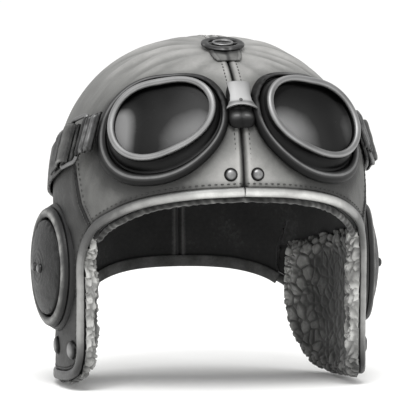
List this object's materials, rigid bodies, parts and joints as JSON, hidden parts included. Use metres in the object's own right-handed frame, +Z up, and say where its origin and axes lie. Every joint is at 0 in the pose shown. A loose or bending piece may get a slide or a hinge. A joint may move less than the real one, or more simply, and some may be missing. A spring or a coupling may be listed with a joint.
{
  "type": "aviator helmet",
  "caption": "Soft leather flying helmet with shearling ear flaps, domed ear pads and goggles pushed up on the brow.",
  "frame": {"origin": "inside top of the crown, where the helmet sits on the head", "axes": "+Z up, -Y forward, +X to the wearer's left"},
  "size_m": [0.2166, 0.2083, 0.2124],
  "materials": {
    "crown_leather": "worn pale grey leather, darker at the sides",
    "edge_piping": "rolled leather, rubbed bright",
    "lining_suede": "dark suede cloth",
    "shearling": "curly shearling",
    "pad_leather": "scuffed dark leather over a stiff cup",
    "bright_metal": "nickelled, rubbed",
    "dark_metal": "blackened, worn at the crests",
    "lens_glass": "dark smoked glass",
    "goggle_rubber": "dark moulded rubber and leather",
    "strap_webbing": "dark strap"
  },
  "bodies": {
    "root": {"crown_left": "crown_leather", "crown_right": "crown_leather", "flap_left": "crown_leather", "flap_right": "crown_leather", "crown_tab": "crown_leather", "edge_binding_left": "edge_piping", "edge_binding_right": "edge_piping", "lining_left": "lining_suede", "lining_right": "lining_suede", "nape_hem": "lining_suede", "flap_fleece_left": "shearling", "flap_fleece_right": "shearling", "brow_roll": "shearling", "pad_base_left": "pad_leather", "pad_base_right": "pad_leather", "pad_ring_left": "pad_leather", "pad_ring_right": "pad_leather", "pad_cap_left": "pad_leather", "pad_cap_right": "pad_leather", "goggle_bezel_left": "bright_metal", "goggle_bezel_right": "bright_metal", "bridge_plate": "bright_metal", "bridge_screw": "bright_metal", "strap_loop_left": "bright_metal", "strap_loop_right": "bright_metal", "crown_buckle": "dark_metal", "brow_rivet_left": "dark_metal", "brow_rivet_right": "dark_metal", "flap_snap_front_left": "dark_metal", "flap_snap_front_right": "dark_metal", "flap_snap_back_left": "dark_metal", "flap_snap_back_right": "dark_metal", "pad_rivet_front_left": "dark_metal", "pad_rivet_front_right": "dark_metal", "pad_rivet_back_left": "dark_metal", "pad_rivet_back_right": "dark_metal", "strap_bracket_left": "dark_metal", "strap_bracket_right": "dark_metal", "goggle_lens_left": "lens_glass", "goggle_lens_right": "lens_glass", "goggle_cup_left": "goggle_rubber", "goggle_cup_right": "goggle_rubber", "goggle_flange_left": "goggle_rubber", "goggle_flange_right": "goggle_rubber", "nose_pad": "goggle_rubber", "goggle_strap": "strap_webbing", "strap_fold_left": "strap_webbing", "strap_fold_right": "strap_webbing"}
  },
  "joints": []
}
